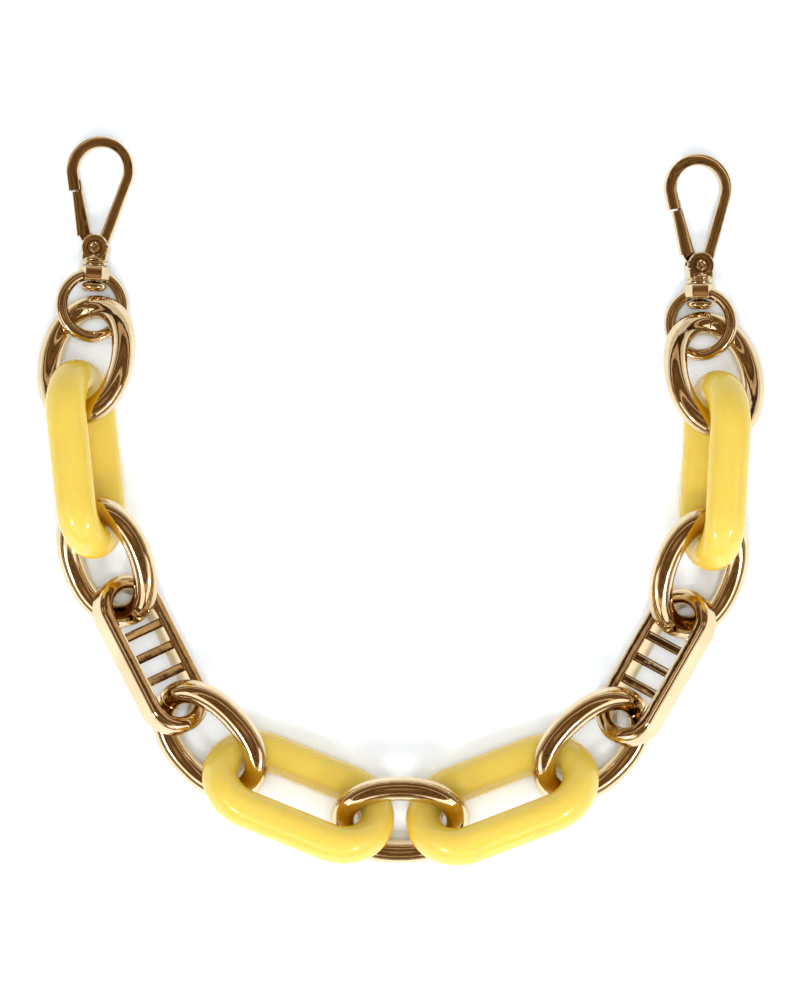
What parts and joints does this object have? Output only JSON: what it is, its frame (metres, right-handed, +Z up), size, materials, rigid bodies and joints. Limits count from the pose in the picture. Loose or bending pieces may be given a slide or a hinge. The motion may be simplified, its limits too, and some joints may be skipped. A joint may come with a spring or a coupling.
{
  "type": "handbag chain strap",
  "caption": "Short handbag strap of interlinked gold-finish metal and glossy yellow resin links, with a swivel snap hook at each end, laid flat in a U.",
  "frame": {"origin": "on the table, under the middle of the box round the strap as it lies", "axes": "+Z up from the table; +Y from the bottom of the U towards the open side with the hooks; +X towards the right hook"},
  "size_m": [0.2178, 0.2184, 0.0348],
  "materials": {
    "gold": "polished light gold plating",
    "yellow_resin": "glossy cast resin",
    "spring_steel": "bright drawn wire"
  },
  "bodies": {
    "oval_link_4": {"oval_link_4": "gold"},
    "resin_link_2": {"resin_link_2": "yellow_resin"},
    "oval_link_3": {"oval_link_3": "gold"},
    "barred_link_1": {"barred_link_1": "gold"},
    "oval_link_2": {"oval_link_2": "gold"},
    "resin_link_1": {"resin_link_1": "yellow_resin"},
    "oval_link_1": {"oval_link_1": "gold"},
    "left_eye": {"left_swivel_eye": "gold"},
    "left_hook": {"left_hook_frame": "gold", "left_swivel_post": "gold", "left_gate_pin": "gold", "left_gate_spring": "spring_steel"},
    "left_gate": {"left_gate": "gold"},
    "resin_link_3": {"resin_link_3": "yellow_resin"},
    "oval_link_5": {"oval_link_5": "gold"},
    "barred_link_2": {"barred_link_2": "gold"},
    "oval_link_6": {"oval_link_6": "gold"},
    "resin_link_4": {"resin_link_4": "yellow_resin"},
    "oval_link_7": {"oval_link_7": "gold"},
    "right_eye": {"right_swivel_eye": "gold"},
    "right_hook": {"right_hook_frame": "gold", "right_swivel_post": "gold", "right_gate_pin": "gold", "right_gate_spring": "spring_steel"},
    "right_gate": {"right_gate": "gold"}
  },
  "joints": [
    {"name": "resin_link_2_swing", "type": "hinge", "parent": "oval_link_4", "child": "resin_link_2", "pos_m": [-0.01758, -0.09579, 0.01112], "axis": [0, 0.788, 0.6157], "range_deg": [-8, 35]},
    {"name": "oval_link_3_swing", "type": "hinge", "parent": "resin_link_2", "child": "oval_link_3", "pos_m": [-0.05341, -0.07947, 0.01372], "axis": [0.2784, 0.689, -0.6691], "range_deg": [-35, 11]},
    {"name": "barred_link_1_swing", "type": "hinge", "parent": "oval_link_3", "child": "barred_link_1", "pos_m": [-0.06889, -0.05947, 0.00948], "axis": [-0.5718, -0.5879, -0.5722], "range_deg": [-24, 30]},
    {"name": "oval_link_2_swing", "type": "hinge", "parent": "barred_link_1", "child": "oval_link_2", "pos_m": [-0.08541, -0.02566, 0.00819], "axis": [0.752, 0.3503, -0.5584], "range_deg": [-18, 35]},
    {"name": "resin_link_1_swing", "type": "hinge", "parent": "oval_link_2", "child": "resin_link_1", "pos_m": [-0.09315, -0.0024, 0.01577], "axis": [-0.8303, -0.1275, -0.5426], "range_deg": [-12, 14]},
    {"name": "oval_link_1_swing", "type": "hinge", "parent": "resin_link_1", "child": "oval_link_1", "pos_m": [-0.0966, 0.03665, 0.01648], "axis": [0.3255, 0.0176, -0.9454], "range_deg": [-35, 35]},
    {"name": "left_eye_swing", "type": "hinge", "parent": "oval_link_1", "child": "left_eye", "pos_m": [-0.09207, 0.05776, 0.00558], "axis": [-0.8978, -0.067, -0.4353], "range_deg": [-6, 12]},
    {"name": "left_hook_swivel", "type": "hinge", "parent": "left_eye", "child": "left_hook", "pos_m": [-0.0919, 0.06782, 0.00582], "axis": [0.0626, 0.9953, -0.0732], "continuous": true},
    {"name": "left_gate_hinge", "type": "hinge", "parent": "left_hook", "child": "left_gate", "pos_m": [-0.09141, 0.07558, 0.00525], "axis": [0.1516, -0.082, -0.985], "range_deg": [0, 22], "stiffness_Nm_per_rad": 0.01, "springref_deg": -28.65},
    {"name": "resin_link_3_swing", "type": "hinge", "parent": "oval_link_4", "child": "resin_link_3", "pos_m": [0.01722, -0.09579, 0.01112], "axis": [0, 0.788, 0.6157], "range_deg": [-35, 8]},
    {"name": "oval_link_5_swing", "type": "hinge", "parent": "resin_link_3", "child": "oval_link_5", "pos_m": [0.05334, -0.08069, 0.01372], "axis": [0.2663, -0.6938, 0.6691], "range_deg": [-35, 15]},
    {"name": "barred_link_2_swing", "type": "hinge", "parent": "oval_link_5", "child": "barred_link_2", "pos_m": [0.0702, -0.06213, 0.00924], "axis": [-0.511, 0.6422, 0.5714], "range_deg": [-35, 35]},
    {"name": "oval_link_6_swing", "type": "hinge", "parent": "barred_link_2", "child": "oval_link_6", "pos_m": [0.08802, -0.02999, 0.00875], "axis": [0.6932, -0.3754, 0.6153], "range_deg": [-35, 26]},
    {"name": "resin_link_4_swing", "type": "hinge", "parent": "oval_link_6", "child": "resin_link_4", "pos_m": [0.09428, -0.00544, 0.01474], "axis": [-0.8351, 0.1369, 0.5327], "range_deg": [-20, 20]},
    {"name": "oval_link_7_swing", "type": "hinge", "parent": "resin_link_4", "child": "oval_link_7", "pos_m": [0.09502, 0.03327, 0.0187], "axis": [0.2894, -0.0653, 0.955], "range_deg": [-35, 35]},
    {"name": "right_eye_swing", "type": "hinge", "parent": "oval_link_7", "child": "right_eye", "pos_m": [0.09154, 0.05292, 0.00506], "axis": [-0.9223, 0.0507, 0.383], "range_deg": [-9, 8]},
    {"name": "right_hook_swivel", "type": "hinge", "parent": "right_eye", "child": "right_hook", "pos_m": [0.08975, 0.06243, 0.00592], "axis": [-0.0174, 0.9979, -0.0628], "continuous": true},
    {"name": "right_gate_hinge", "type": "hinge", "parent": "right_hook", "child": "right_gate", "pos_m": [0.08961, 0.07021, 0.00543], "axis": [-0.2238, -0.0651, -0.9724], "range_deg": [0, 22], "stiffness_Nm_per_rad": 0.01, "springref_deg": -28.65}
  ]
}
